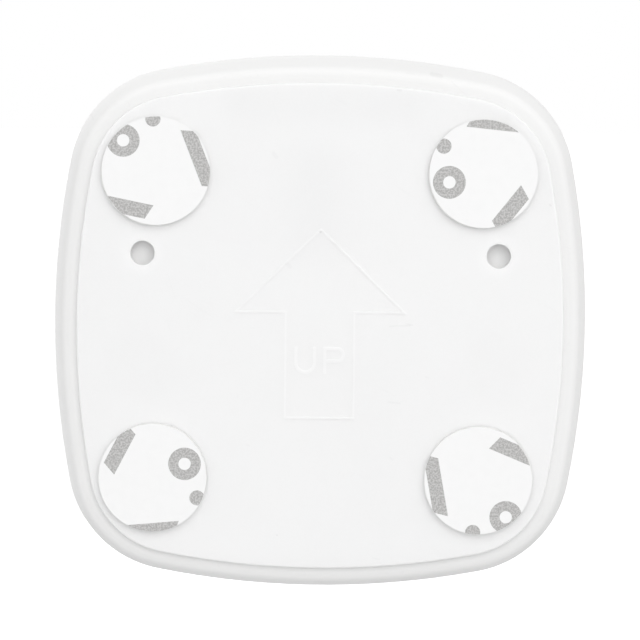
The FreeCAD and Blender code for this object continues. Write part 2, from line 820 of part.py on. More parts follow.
def reflector_tray():
    """White tray that lights the diffuser, with a window for each light and collars for screws."""
    body = new_body("reflector_tray")
    plan = new_sketch(body, "XZ_Plane", tray_back)
    round_square(plan, tray_half, size.tray_corner_radius)
    pad(body, plan, size.tray_thick + size.tray_rise)
    collars = new_sketch(body, "XZ_Plane", board_front)
    for across in both_ways:
        for up in both_ways:
            circle(collars, post_x * across, size.post_z * up, size.post_radius)
    pad(body, collars, size.tray_gap + size.tray_thick / 2)
    hollow = new_sketch(body, "XZ_Plane", tray_front)
    round_square(hollow, tray_half - size.tray_wall, size.tray_corner_radius - size.tray_wall)
    pocket(body, hollow, size.tray_rise)
    holes = new_sketch(body, "XZ_Plane", board_front)
    circle(holes, 0, 0, shroud_radius + size.tray_hole_gap)
    circle(holes, 0, -size.pipe_place, size.eye_radius + size.tray_hole_gap)
    for across in both_ways:
        for up in both_ways:
            circle(holes, post_x * across, size.post_z * up, shaft_hole)
    half_x = size.led_length / 2 + size.tray_hole_gap
    half_z = size.led_width / 2 + size.tray_hole_gap
    for x, z in led_places():
        rectangle(holes, x - half_x, z - half_z, x + half_x, z + half_z)
    pocket(body, holes, tray_front - board_front)


def led_places():
    """Where the eight lights sit, evenly round the sensor."""
    angles = [math.radians(22.5 + 45 * number) for number in range(8)]
    return [(size.led_ring_radius * math.cos(a), size.led_ring_radius * math.sin(a)) for a in angles]


def sensor_shroud():
    """Tube round the motion sensor with a flat bezel in front and a lip that holds the lens."""
    body = new_body("sensor_shroud")
    section = new_sketch(body, "XY_Plane")
    lip = size.lens_radius + size.lens_gap
    loop(section, [
        (size.shroud_bore, -board_front), (shroud_radius, -board_front), (shroud_radius, -bezel_back),
        (size.bezel_radius, -bezel_back), (size.bezel_radius, -bezel_front), (lip, -bezel_front),
        (lip, -lip_back), (size.shroud_bore, -lip_back),
    ])
    revolve(body, section)
    document.recompute()
    eye = new_sketch(body, "XZ_Plane", bezel_back)
    circle(eye, 0, -size.pipe_place, size.pipe_radius + size.glue_gap)
    pocket(body, eye, size.bezel_thick)


def pir_lens():
    """Dome lens with a flange that lies behind the shroud's lip."""
    body = new_body("pir_lens")
    section = new_sketch(body, "XY_Plane")
    back = lip_back - size.lens_flange_thick
    flange = size.shroud_bore - size.lens_gap
    inside = size.lens_radius - size.lens_wall
    loop(section, [
        (inside, -back), (flange, -back), (flange, -lip_back), (size.lens_radius, -lip_back),
        (0, -lip_back - size.lens_radius), (0, -lip_back - inside), (inside, -lip_back),
    ], {3: (0, -lip_back, -1), 5: (0, -lip_back, 1)})
    revolve(body, section)


def motion_sensor():
    """Header with its pins, the can over it and the filter window in the can."""
    header = new_body("sensor_header")
    base = new_sketch(header, "XZ_Plane", board_front)
    circle(base, 0, 0, size.header_radius)
    pad(header, base, size.header_thick)
    pin_end = board_back - size.pin_tail
    pins = new_sketch(header, "XZ_Plane", pin_end)
    for x, z in pin_places():
        circle(pins, x, z, size.pin_radius)
    pad(header, pins, board_front - pin_end + size.header_thick / 2)

    can_back = board_front + size.header_thick
    can = new_body("sensor_can")
    cap = new_sketch(can, "XZ_Plane", can_back)
    circle(cap, 0, 0, size.can_radius)
    pad(can, cap, size.can_height)
    hollow = new_sketch(can, "XZ_Plane", can_back)
    circle(hollow, 0, 0, size.can_radius - size.can_wall)
    pocket(can, hollow, size.can_height - size.can_wall)
    window = new_sketch(can, "XZ_Plane", can_back)
    half = size.window_half
    rectangle(window, -half, -half, half, half)
    pocket(can, window, size.can_height)

    front = can_back + size.can_height - size.can_wall
    edge = size.window_half + size.can_wall
    block("sensor_window", -edge, edge, front - size.can_wall, front, -edge, edge)


def pin_places():
    """The sensor's three pins, at right angles round its header."""
    return ((size.pin_circle, 0), (-size.pin_circle, 0), (0, size.pin_circle))


def light_sensing():
    """Ambient light sensor on the board and the clear pipe that leads to it."""
    body = new_body("light_sensor")
    section = new_sketch(body, "XY_Plane")
    shoulder = board_front + size.eye_height - size.eye_radius
    tip = board_front + size.eye_height
    loop(section, [
        (0, -board_front), (size.eye_radius, -board_front), (size.eye_radius, -shoulder), (0, -tip),
    ], {2: (0, -shoulder, -1)})
    revolve(body, section)
    place(body, z=-size.pipe_place)
    start = board_front + size.eye_height + size.lens_gap
    disc("light_pipe", 0, start, -size.pipe_place, size.pipe_radius, bezel_front - start)


def main_board():
    """Circuit board with a tongue for the mode switch, screw holes, tab slots and pin holes."""
    body = new_body("main_board")
    plan = new_sketch(body, "XZ_Plane", board_back)
    round_square(plan, board_half, size.board_corner_radius)
    pad(body, plan, size.board_thick)
    tongue = new_sketch(body, "XZ_Plane", board_back)
    rectangle(tongue, -size.board_tongue_half, -switch_front, size.board_tongue_half, 0)
    pad(body, tongue, size.board_thick)
    holes = new_sketch(body, "XZ_Plane", board_back)
    for across in both_ways:
        for up in both_ways:
            circle(holes, post_x * across, size.post_z * up, shaft_hole)
    for x, z in pin_places():
        circle(holes, x, z, size.pin_radius + size.slot_gap)
    for x, z in ((cell_pitch, 1), (-cell_pitch, -1)):
        inner_z = (bay_half_z - size.contact_thick - size.slot_gap) * z
        outer_z = (bay_half_z + size.slot_gap) * z
        half = size.tab_half_width + size.slot_gap
        rectangle(holes, x - half, inner_z, x + half, outer_z)
    pocket(body, holes, size.board_thick)


def lights():
    """Eight surface-mounted lights with a round well for the phosphor."""
    for number, (x, z) in enumerate(led_places(), start=1):
        body = new_body(f"led_{number}")
        plan = new_sketch(body, "XZ_Plane", board_front)
        rectangle(plan, -size.led_length / 2, -size.led_width / 2, size.led_length / 2, size.led_width / 2)
        pad(body, plan, size.led_height)
        well = new_sketch(body, "XZ_Plane", board_front + size.led_height)
        circle(well, 0, 0, size.led_well_radius)
        pocket(body, well, size.led_well_depth, against_normal=True)
        place(body, x=x, z=z)


def battery_cells():
    """Three cells side by side, the middle one upside down."""
    for number, flip in enumerate((1, -1, 1), start=1):
        body = new_body(f"battery_cell_{number}")
        section = new_sketch(body, "XZ_Plane")
        tip = bay_half_z - size.contact_thick - size.contact_dimple
        shoulder = tip - size.nub_height
        foot = tip - size.cell_length
        loop(section, [
            (0, foot * flip), (size.cell_radius, foot * flip), (size.cell_radius, shoulder * flip),
            (size.nub_radius, shoulder * flip), (size.nub_radius, tip * flip), (0, tip * flip),
        ])
        revolve(body, section)
        place(body, x=cell_pitch * (number - 2), depth=cell_axis)


def contact(label, cells, end, tab):
    """Stamped contact plate at one end of the bay, with a dimple where a cell's nub meets it."""
    body = new_body(label)
    face = bay_half_z - size.contact_thick
    left = cell_pitch * (min(cells) - 2) - size.contact_half_width
    right = cell_pitch * (max(cells) - 2) + size.contact_half_width
    top = recess + size.cell_back_gap * 2
    plate = new_sketch(body, "XY_Plane", face if end > 0 else -bay_half_z)
    rectangle(plate, left, -bay_floor, right, -top)
    pad(body, plate, size.contact_thick)
    if tab:
        strip = new_sketch(body, "XY_Plane", face if end > 0 else -bay_half_z)
        middle = cell_pitch * (cells[0] - 2)
        far = board_front + size.contact_thick
        half = size.tab_half_width
        rectangle(strip, middle - half, -far, middle + half, -(bay_floor - size.tub_wall))
        pad(body, strip, size.contact_thick)
    for cell in cells:
        if (end > 0) == (cell != 2):
            spot = new_sketch(body, "XY_Plane", face - size.contact_dimple if end > 0 else -face)
            circle(spot, cell_pitch * (cell - 2), -cell_axis, size.nub_radius)
            pad(body, spot, size.contact_dimple)


def contacts():
    """The two end contacts, soldered to the board by their tabs, and the two bridges."""
    contact("contact_positive", (3,), 1, tab=True)
    contact("contact_bridge_upper", (1, 2), 1, tab=False)
    contact("contact_negative", (1,), -1, tab=True)
    contact("contact_bridge_lower", (2, 3), -1, tab=False)


def arc_from(start, heading, end):
    """Arc that leaves the start along the heading and reaches the end."""
    chord = end - start
    along = Vector(chord).normalize()
    side = heading - along * heading.dot(along)
    lean = heading.getAngle(chord)
    middle = start + chord / 2 + side.normalize() * (chord.Length / 2 * math.tan(lean / 2))
    return Part.Arc(start, middle, end).toShape()


def springs():
    """Three conical springs that press the cells' flat ends, each one unbroken wire."""
    wire = SIZES["spring_wire_radius"]
    base, top = SIZES["spring_base_radius"], SIZES["spring_top_radius"]
    rise = SIZES["spring_length"] - 2 * wire
    turns = SIZES["spring_turns"]

    def point(along):
        radius = base + (top - base) * along
        angle = 2 * math.pi * turns * along
        return Vector(radius * math.cos(angle), radius * math.sin(angle), wire + rise * along)

    def heading(along):
        step = 1e-5
        return (point(along + step) - point(along - step)).normalize()

    quarters = round(4 * turns)
    edges = []
    for quarter in range(quarters):
        a, b = quarter / quarters, (quarter + 1) / quarters
        start, end, leave, arrive = point(a), point(b), heading(a), heading(b)
        chord, both = end - start, leave + arrive
        spread = 2 * (1 - leave.dot(arrive))
        reach = (math.sqrt(chord.dot(both) ** 2 + spread * chord.dot(chord)) - chord.dot(both)) / spread
        joint = (start + leave * reach + end - arrive * reach) / 2
        edges.append(arc_from(start, leave, joint))
        edges.append(arc_from(end, -arrive, joint))
    path = Part.Wire(Part.__sortEdges__(edges))
    ring_of_wire = Part.Wire(Part.makeCircle(wire, point(0), heading(0)))
    shell = Part.BRepOffsetAPI.MakePipeShell(path)
    shell.add(ring_of_wire)
    shell.build()
    shell.makeSolid()
    coil = shell.shape()
    gap = rise / turns - 2 * wire
    print(f"spring: length {path.Length:.1f} mm, least gap between turns {gap:.2f} mm")
    face = bay_half_z.number - SIZES["contact_thick"]
    for number, end in enumerate((-1, 1, -1), start=1):
        spring = document.addObject("Part::Feature", f"battery_spring_{number}")
        spring.Label = f"battery_spring_{number}"
        spring.Shape = coil
        x = cell_pitch.number * (number - 2)
        turned = Rotation(Vector(1, 0, 0), 0 if end < 0 else 180)
        spring.Placement = Placement(Vector(x, -cell_axis.number, face * end), turned)
        pieces.append(spring)


def screw_set(label, x, z, head_depth, length, head_to_wall):
    """Four alike screws with cross-slotted heads, one in each quarter."""
    body = new_body(label)
    section = new_sketch(body, "XY_Plane", z)
    section.setExpression("AttachmentOffset.Base.x", as_size(x).formula)
    way = 1 if head_to_wall else -1
    top = head_depth - size.screw_head_height * way
    tip = head_depth + length * way
    loop(section, [
        (0, -top), (size.screw_head_radius, -top), (size.screw_head_radius, -head_depth),
        (size.screw_radius, -head_depth), (size.screw_radius, -tip), (0, -tip),
    ])
    shaft = revolve(body, section)
    document.recompute()
    cross = new_sketch(body, "XZ_Plane", top)
    arm, half = size.screw_cross_reach, size.screw_cross_half
    quarter = [(arm, -half), (arm, half), (half, half)]
    corners = []
    for turn in range(4):
        for cx, cz in quarter:
            for _ in range(turn):
                cx, cz = -cz, cx
            corners.append((x + cx, z + cz))
    loop(cross, corners)
    slot = pocket(body, cross, size.screw_cross_depth, against_normal=not head_to_wall)
    mirror(body, [shaft, slot], ("YZ_Plane", "XY_Plane"))


def fasteners():
    """Case screws under the plate, and board screws in front of the tray."""
    corner = case_screw_place
    screw_set("case_screws", corner, corner, recess + well_depth, size.case_screw_length, True)
    screw_set("board_screws", post_x, size.post_z, tray_front, size.board_screw_length, False)


def board_parts():
    """Chips, capacitors and resistors on the side of the board that faces the tub."""
    column = post_x + size.part_column_gap
    half_width, half_length = size.chip_width / 2, size.chip_length / 2
    leg_half = size.leg_width / 2
    for number, side in enumerate((1, -1), start=1):
        body = new_body(f"control_chip_{number}")
        plan = new_sketch(body, "XZ_Plane", board_back - size.chip_lift - size.chip_height)
        rectangle(plan, -half_width, -half_length, half_width, half_length)
        pad(body, plan, size.chip_height)
        legs = new_sketch(body, "XZ_Plane", board_back - size.leg_height)
        for row in range(4):
            middle = size.leg_pitch * (row - 1.5)
            for way in both_ways:
                root = (half_width - leg_half) * way
                tip = (half_width + size.leg_reach) * way
                left, right = (root, tip) if way > 0 else (tip, root)
                rectangle(legs, left, middle - leg_half, right, middle + leg_half)
        pad(body, legs, size.leg_height)
        place(body, x=column * side, z=size.chip_z)

        depth = board_back - size.capacitor_height
        z = -size.post_z - size.capacitor_drop
        radius, height = size.capacitor_radius, size.capacitor_height
        disc(f"capacitor_{number}", (column - size.part_column_gap) * side, depth, z, radius, height)
    places = [(side, z) for z in (size.resistor_upper_z, -size.resistor_lower_z) for side in (1, -1)]
    across, up = size.resistor_length / 2, size.resistor_width / 2
    for number, (side, z) in enumerate(places, start=1):
        x = column * side
        depth = board_back - size.resistor_height
        block(f"resistor_{number}", x - across, x + across, depth, board_back, z - up, z + up)


def mode_switch():
    """Slide switch on the board's tongue, its lever, and the knob in the lamp's lower side."""
    body = new_body("switch_body")
    plan = new_sketch(body, "XZ_Plane", board_back - size.switch_height)
    back = switch_front - size.switch_length
    rectangle(plan, -size.switch_half, -switch_front, size.switch_half, -back)
    pad(body, plan, size.switch_height)
    channel = new_sketch(body, "XY_Plane", -switch_front)
    half = size.lever_half + size.slide_travel + size.slide_gap
    thick = size.lever_half + size.slot_gap
    rectangle(channel, -half, -(slide_depth + thick), half, -(slide_depth - thick))
    pocket(body, channel, size.switch_length / 2)

    lever = size.lever_half
    tip = switch_front + size.lever_reach
    root = switch_front - size.lever_root
    block("switch_lever", -lever, lever, slide_depth - lever, slide_depth + lever, -tip, -root)

    knob = new_body("mode_knob")
    end = size.outline_half - size.knob_recess
    mouth = tip - size.lever_socket
    stem = new_sketch(knob, "XY_Plane", -end)
    half, thick = size.knob_half, size.knob_thick / 2
    rectangle(stem, -half, -(slide_depth + thick), half, -(slide_depth - thick))
    pad(knob, stem, end - mouth)
    flange = new_sketch(knob, "XY_Plane", -(size.outline_half - size.knob_flange_inset))
    half, thick = size.knob_flange_half, size.knob_thick / 2 + size.knob_flange_lap
    rectangle(flange, -half, -(slide_depth + thick), half, -(slide_depth - thick))
    pad(knob, flange, size.knob_flange_thick)
    socket = new_sketch(knob, "XY_Plane", -mouth)
    half = size.lever_half + size.glue_gap
    rectangle(socket, -half, -(slide_depth + half), half, -(slide_depth - half))
    pocket(knob, socket, size.lever_socket + size.slot_gap, against_normal=True)


def write_pieces():
    """Check every object and write each piece to its own file."""
    document.recompute()
    for thing in document.Objects:
        if "Invalid" in thing.State or "Error" in thing.State:
            raise ValueError(f"{thing.Name} failed: {thing.State}")
    for piece in pieces:
        if piece.Shape.isNull() or not piece.Shape.isValid():
            raise ValueError(f"{piece.Label} has no valid shape")
    os.makedirs("parts", exist_ok=True)
    for piece in pieces:
        piece.Shape.exportStep(f"parts/{piece.Label}.step")
    print(f"{len(pieces)} pieces written")


mounting_plate()
wall_side_pieces()
rear_shell()
front_shell()
diffuser()
reflector_tray()
sensor_shroud()
pir_lens()
motion_sensor()
light_sensing()
main_board()
lights()
battery_cells()
contacts()
springs()
fasteners()
board_parts()
mode_switch()
write_pieces()
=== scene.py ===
import math

import bmesh
import bpy
from mathutils import Matrix, Vector, noise


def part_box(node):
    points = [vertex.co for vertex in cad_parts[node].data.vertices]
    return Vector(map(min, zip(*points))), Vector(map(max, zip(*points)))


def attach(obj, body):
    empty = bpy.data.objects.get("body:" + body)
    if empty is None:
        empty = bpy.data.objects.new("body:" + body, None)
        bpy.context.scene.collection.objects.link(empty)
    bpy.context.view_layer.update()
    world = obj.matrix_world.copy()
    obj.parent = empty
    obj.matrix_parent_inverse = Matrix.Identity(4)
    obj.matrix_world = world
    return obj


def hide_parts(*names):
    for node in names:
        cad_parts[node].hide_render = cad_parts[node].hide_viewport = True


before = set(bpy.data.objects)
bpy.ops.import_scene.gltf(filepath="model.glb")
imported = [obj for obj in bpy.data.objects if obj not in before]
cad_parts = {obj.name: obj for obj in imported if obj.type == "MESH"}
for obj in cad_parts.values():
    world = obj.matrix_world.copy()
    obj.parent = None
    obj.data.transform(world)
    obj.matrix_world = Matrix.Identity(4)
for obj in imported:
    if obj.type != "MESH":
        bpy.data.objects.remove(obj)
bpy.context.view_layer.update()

# Mounting plate: a flat white ABS moulding that stays on the wall. Its back keeps the fine grain of
# a spark-eroded mould and a few scuffs and runs from handling; painted shade darkens two soft patches
# and its edge, and painted light makes pale rings round the screw holes and paler hole walls. The
# arrow and the letters are raised lines in the moulding itself, their tops paler as a painted
# highlight.
MM = 0.001


def put(tree, kind, inputs, **settings):
    """Put a shader node in the tree, set it up and join its inputs; gives its first live output."""
    node = tree.nodes.new("ShaderNode" + kind)
    for name, value in settings.items():
        setattr(node, name, value)
    for name, value in inputs.items():
        if isinstance(value, bpy.types.NodeSocket):
            tree.links.new(value, node.inputs[name])
        else:
            node.inputs[name].default_value = value
    return next(output for output in node.outputs if output.enabled)


def calc(tree, operation, first, second=0.0):
    """One step of arithmetic in the tree."""
    return put(tree, "Math", {0: first, 1: second}, operation=operation)


def ramp(tree, value, low, high, start=0.0, end=1.0):
    """Carry a value smoothly over from one range to another."""
    limits = {"Value": value, "From Min": low, "From Max": high, "To Min": start, "To Max": end}
    return put(tree, "MapRange", limits, interpolation_type="SMOOTHSTEP")


def tint(tree, mask, first, second):
    """Go from the first colour to the second where the mask is 1."""
    colours = [(*c, 1.0) if isinstance(c, tuple) else c for c in (first, second)]
    return put(tree, "Mix", {0: mask, 6: colours[0], 7: colours[1]}, data_type="RGBA")


def new_group(name, inputs, outputs):
    """An empty node group with named sockets; gives it, what comes in and what goes out."""
    group = bpy.data.node_groups.new(name, "ShaderNodeTree")
    for socket, value in inputs.items():
        kind = "NodeSocketVector" if isinstance(value, tuple) else "NodeSocketFloat"
        made = group.interface.new_socket(socket, in_out="INPUT", socket_type=kind)
        made.default_value = value
    for socket in outputs:
        group.interface.new_socket(socket, in_out="OUTPUT", socket_type="NodeSocketFloat")
    coming = group.nodes.new("NodeGroupInput").outputs
    going = group.nodes.new("NodeGroupOutput").inputs
    return group, coming, going


pill_mark, coming, going = new_group("pill mark", {
    "Vector": (0.0, 0.0, 0.0), "Place": (0.0, 0.0, 0.0), "Turn": 0.0,
    "Half Length": 0.001, "Half Width": 0.001, "Softness": 0.0001,
}, ["Mask"])
local = put(pill_mark, "VectorMath", {0: coming["Vector"], 1: coming["Place"]}, operation="SUBTRACT")
turned = {"Vector": local, "Angle": coming["Turn"]}
along = put(pill_mark, "SeparateXYZ", {
    0: put(pill_mark, "VectorRotate", turned, rotation_type="Y_AXIS"),
})
across = along.node.outputs["Z"]
along = calc(pill_mark, "ABSOLUTE", along)
along = calc(pill_mark, "MAXIMUM", calc(pill_mark, "SUBTRACT", along, coming["Half Length"]), 0.0)
along = calc(pill_mark, "MULTIPLY", along, along)
across = calc(pill_mark, "MULTIPLY", across, across)
distance = calc(pill_mark, "SQRT", calc(pill_mark, "ADD", along, across))
inner = calc(pill_mark, "SUBTRACT", coming["Half Width"], coming["Softness"])
outer = calc(pill_mark, "ADD", coming["Half Width"], coming["Softness"])
pill_mark.links.new(ramp(pill_mark, distance, inner, outer, 1.0, 0.0), going["Mask"])

moulded_grain, coming, going = new_group(
    "moulded grain", {"Vector": (0.0, 0.0, 0.0), "Grain": 0.0003}, ["Height", "Tone"]
)
density = calc(moulded_grain, "DIVIDE", 1.0, coming["Grain"])
fine = put(moulded_grain, "TexNoise", {
    "Vector": coming["Vector"], "Scale": density, "Detail": 2.0, "Roughness": 0.6,
})
broad = put(moulded_grain, "TexNoise", {
    "Vector": coming["Vector"], "Scale": 48.0, "Detail": 3.0, "Roughness": 0.55,
})
moulded_grain.links.new(fine, going["Height"])
moulded_grain.links.new(ramp(moulded_grain, broad, 0.36, 0.68), going["Tone"])

hairlines, coming, going = new_group(
    "hairlines", {"Vector": (0.0, 0.0, 0.0), "Amount": 0.5}, ["Mask"]
)
total = None
for turn, stretch in ((0.55, 90.0), (-0.9, 60.0), (1.35, 110.0)):
    swung = put(hairlines, "VectorRotate", {
        "Vector": coming["Vector"], "Axis": (0.3, 1.0, 0.2), "Angle": turn,
    }, rotation_type="AXIS_ANGLE")
    drawn = put(hairlines, "VectorMath", {0: swung, 1: (stretch, 2400.0, 2400.0)}, operation="MULTIPLY")
    lines = put(hairlines, "TexNoise", {"Vector": drawn, "Scale": 1.0, "Detail": 1.0})
    lines = ramp(hairlines, lines, 0.71, 0.76)
    total = lines if total is None else calc(hairlines, "MAXIMUM", total, lines)
patches = put(hairlines, "TexNoise", {"Vector": coming["Vector"], "Scale": 70.0, "Detail": 2.0})
patches = ramp(hairlines, patches, 0.48, 0.62)
total = calc(hairlines, "MULTIPLY", calc(hairlines, "MULTIPLY", total, patches), coming["Amount"])
hairlines.links.new(total, going["Mask"])


def new_material(name, **sockets):
    """A material on a Principled shader; gives it, its tree, its shader and the piece's own place."""
    material = bpy.data.materials.new(name)
    material.use_nodes = True
    tree = material.node_tree
    shader = tree.nodes["Principled BSDF"]
    for socket, value in sockets.items():
        shader.inputs[socket.replace("_", " ")].default_value = value
    where = put(tree, "TexCoord", {}).node.outputs["Object"]
    return material, tree, shader, where


RELIEF_WIDTH = 1.0
CREST_BLEND = 0.03
PALER = 1.1


def moulded_plastic(
    name, colour, shade, roughness, grain, relief, wear,
    spots=(), painted_light=(), painted_highlight_depth=None, dust_and_shade=None, **sockets,
):
    """White or coloured plastic as it comes from a mould, with its grain, mottling and handling marks.

    spots are darker marks, some of them painted shade, and the paler marks are painted light: x, z,
    turn, half length, half width, softness in mm, and strength. Narrow spots are raised too. Raised
    lines past a given depth are paler, a painted highlight. The painted shade band is given by the
    depth where it starts, the depth where it is full, and its strength.
    """
    material, tree, shader, where = new_material(name, **sockets)
    face = put(tree, "Group", {"Vector": where, "Grain": grain}, node_tree=moulded_grain)
    tone = face.node.outputs["Tone"]
    lines = put(tree, "Group", {"Vector": where, "Amount": wear}, node_tree=hairlines)
    cloud = calc(tree, "ADD", calc(tree, "MULTIPLY", tone, 0.1), calc(tree, "MULTIPLY", face, 0.3))
    dark = calc(tree, "ADD", cloud, calc(tree, "MULTIPLY", lines, 0.6))
    painted_light_mask = None
    depth = put(tree, "SeparateXYZ", {0: where}).node.outputs["Y"]
    # Painted highlight: raised lines past the given depth are painted paler.
    if painted_highlight_depth is not None:
        painted_light_mask = ramp(tree, depth, (painted_highlight_depth - CREST_BLEND) * MM, (painted_highlight_depth + CREST_BLEND) * MM, 0.0, 0.3)
    # Painted shade: a band darkened by depth, where surfaces sit beside a step.
    if dust_and_shade is not None:
        shade_start, shade_full, amount = dust_and_shade
        dark = calc(tree, "ADD", dark, ramp(tree, depth, shade_start * MM, shade_full * MM, 0.0, amount))
    raised = calc(tree, "SUBTRACT", face, calc(tree, "MULTIPLY", lines, 1.5))
    for spot in (*spots, *painted_light):
        x, z, turn, half_length, half_width, softness, strength = spot
        mark = put(tree, "Group", {
            "Vector": where, "Place": (x * MM, 0.0, z * MM), "Turn": turn,
            "Half Length": half_length * MM, "Half Width": half_width * MM, "Softness": softness * MM,
        }, node_tree=pill_mark)
        mark = calc(tree, "MULTIPLY", mark, strength)
        if spot in painted_light:
            painted_light_mask = mark if painted_light_mask is None else calc(tree, "MAXIMUM", painted_light_mask, mark)
            continue
        dark = calc(tree, "ADD", dark, mark)
        if half_width < RELIEF_WIDTH:
            raised = calc(tree, "ADD", raised, calc(tree, "MULTIPLY", mark, 6.0))
    painted = tint(tree, dark, colour, shade)
    if painted_light_mask is not None:
        painted = tint(tree, painted_light_mask, painted, tuple(min(1.0, c * PALER) for c in colour))
    tree.links.new(painted, shader.inputs["Base Color"])
    rough = calc(tree, "ADD", calc(tree, "MULTIPLY", tone, 0.07), roughness)
    tree.links.new(rough, shader.inputs["Roughness"])
    bump = put(tree, "Bump", {"Strength": 1.0, "Distance": relief, "Height": raised})
    tree.links.new(bump, shader.inputs["Normal"])
    return material


def dress(material, *names):
    """Give CAD nodes their finish."""
    for name in names:
        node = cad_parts[name]
        for slot in node.material_slots:
            slot.material = material


plate_runs = (
    (6.9, 25.4, 0.9, 0.35, 0.28, 0.12, 0.35), (4.7, 9.2, 0.8, 0.4, 0.28, 0.12, 0.35),
    (-11.9, 0.3, -0.05, 1.5, 0.09, 0.08, 0.55), (-13.3, 0.5, 0.2, 0.5, 0.1, 0.08, 0.5),
    (-11.1, -11.2, 0.1, 0.8, 0.16, 0.1, 0.4), (6.1, -31.2, 0.0, 0.0, 0.12, 0.08, 0.9),
    (-11.4, 35.2, 0.1, 0.25, 0.14, 0.08, 1.0), (-33.9, 18.4, 0.7, 0.1, 0.12, 0.08, 0.8),
    (-16.0, -7.4, 0.3, 0.2, 0.12, 0.1, 0.3), (10.5, -17.8, 0.3, 0.2, 0.14, 0.1, 0.25),
    (-10.8, -19.6, 0.6, 0.2, 0.16, 0.1, 0.3), (-8.7, -34.6, 0.2, 0.5, 0.1, 0.08, 0.35),
    (0.0, 14.15, 0.0, 0.0, 0.16, 0.08, 1.0),
)
plate_shadows = ((0.6, 18.5, 1.5, 4.0, 4.2, 4.0, 0.3), (0.0, 32.5, 0.0, 12.0, 2.4, 2.2, 0.25))
HOLES = ((26.4, 10.75), (-26.4, 10.75))
# Painted light: pale rings round the screw holes and paler walls inside them.
painted_light_rings = tuple((*hole, 0.0, 0.0, 2.6, 1.1, 0.25) for hole in HOLES)
painted_light_on_hole_walls = tuple((*hole, 0.0, 0.0, 1.95, 0.12, 1.0) for hole in HOLES)
# Painted shade darkens the plate's edge; the tops of the raised lines carry a painted highlight.
plate_white = moulded_plastic(
    "plate_white", (0.895, 0.895, 0.895), (0.828, 0.828, 0.83), 0.6, 0.00035, 0.000004, 0.25,
    spots=plate_runs + plate_shadows, painted_light=painted_light_rings + painted_light_on_hole_walls, painted_highlight_depth=-1.06, dust_and_shade=(-1.2, -1.6, 0.8),
    IOR=1.4, Subsurface_Weight=0.6, Subsurface_Scale=0.0012, Subsurface_Radius=(1.0, 1.0, 1.0),
)
dress(plate_white, "mounting_plate")

# Adhesive discs: four closed-cell foam discs, 1 mm thick, die-cut from a roll and stuck to the
# plate. The cut leaves their sides soft and slightly uneven, and each carries its release liner.
PAD_SIDE = (
    (0.0, 0.12), (7.80, 0.12), (7.96, 0.14), (7.97, 0.30), (7.96, 0.62),
    (7.97, 0.90), (7.95, 1.09), (7.80, 1.12), (0.0, 1.12),
)
CUT_BAND = 7.2
CUT_REACH = 0.015
TO_ROOM = Vector((0.0, -1.0, 0.0))


def spun(profile, centre, axis=TO_ROOM, steps=96):
    """A bmesh spun from a half section of radius and reach along the axis, in mm."""
    shape = bmesh.new()
    side = axis.orthogonal().normalized()
    points = [shape.verts.new(centre + (side * r + axis * reach) * MM) for r, reach in profile]
    edges = [shape.edges.new(pair) for pair in zip(points, points[1:])]
    bmesh.ops.spin(
        shape, geom=points + edges, cent=centre, axis=axis,
        angle=2 * math.pi, steps=steps, use_merge=True,
    )
    bmesh.ops.remove_doubles(shape, verts=shape.verts, dist=1e-6)
    bmesh.ops.recalc_face_normals(shape, faces=shape.faces)
    return shape


def piece(name, shape, material, body, nodes=(), crease=40):
    """Make a finished piece of a bmesh, on its body, in place of the CAD nodes it stands for."""
    mesh = bpy.data.meshes.new(name)
    shape.to_mesh(mesh)
    shape.free()
    mesh.shade_smooth()
    mesh.set_sharp_from_angle(angle=math.radians(crease))
    mesh.materials.append(material)
    thing = bpy.data.objects.new(name, mesh)
    bpy.context.scene.collection.objects.link(thing)
    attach(thing, body)
    if nodes:
        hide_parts(*nodes)
    return thing


def middle(node):
    """Middle of a CAD node's box."""
    low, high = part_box(node)
    return (low + high) / 2


foam, tree, shader, where = new_material("foam", Roughness=0.92, IOR=1.4)
cells = put(tree, "TexVoronoi", {"Vector": where, "Scale": 3600.0})
speckle = put(tree, "TexNoise", {"Vector": where, "Scale": 900.0, "Detail": 3.0})
tree.links.new(tint(tree, ramp(tree, speckle, 0.4, 0.65), (0.86, 0.86, 0.85), (0.79, 0.79, 0.78)),
               shader.inputs["Base Color"])
tree.links.new(put(tree, "Bump", {"Distance": 0.00006, "Height": cells}), shader.inputs["Normal"])

for number in range(1, 5):
    node = f"adhesive_pad_{number}"
    spot = middle(node)
    spot.y = 0.0
    shape = spun(PAD_SIDE, spot)
    for vertex in shape.verts:
        out = vertex.co - spot
        reach = Vector((out.x, 0.0, out.z))
        if reach.length > CUT_BAND * MM:
            uneven = noise.noise(vertex.co * 420.0) * 0.05 + noise.noise(vertex.co * 1500.0) * 0.02
            vertex.co += reach.normalized() * min(uneven, CUT_REACH) * MM
    pad = piece(f"foam_disc_{number}", shape, foam, "wall_mount", [node], crease=60)

# Release liners: thin silicone-coated paper discs over the adhesive, cut from a printed roll, so
# each shows another part of the same plain grey print of slanted bars and dots.
bar_mark, coming, going = new_group("bar mark", {
    "Vector": (0.0, 0.0, 0.0), "Place": (0.0, 0.0, 0.0), "Turn": 0.0,
    "Half Length": 0.001, "Half Width": 0.001, "Slant": 0.0,
}, ["Mask"])
local = put(bar_mark, "VectorMath", {0: coming["Vector"], 1: coming["Place"]}, operation="SUBTRACT")
turned = {"Vector": local, "Angle": coming["Turn"]}
along = put(bar_mark, "SeparateXYZ", {
    0: put(bar_mark, "VectorRotate", turned, rotation_type="Y_AXIS"),
})
across = along.node.outputs["Z"]
along = calc(bar_mark, "ADD", along, calc(bar_mark, "MULTIPLY", across, coming["Slant"]))
past_end = calc(bar_mark, "SUBTRACT", calc(bar_mark, "ABSOLUTE", along), coming["Half Length"])
past_side = calc(bar_mark, "SUBTRACT", calc(bar_mark, "ABSOLUTE", across), coming["Half Width"])
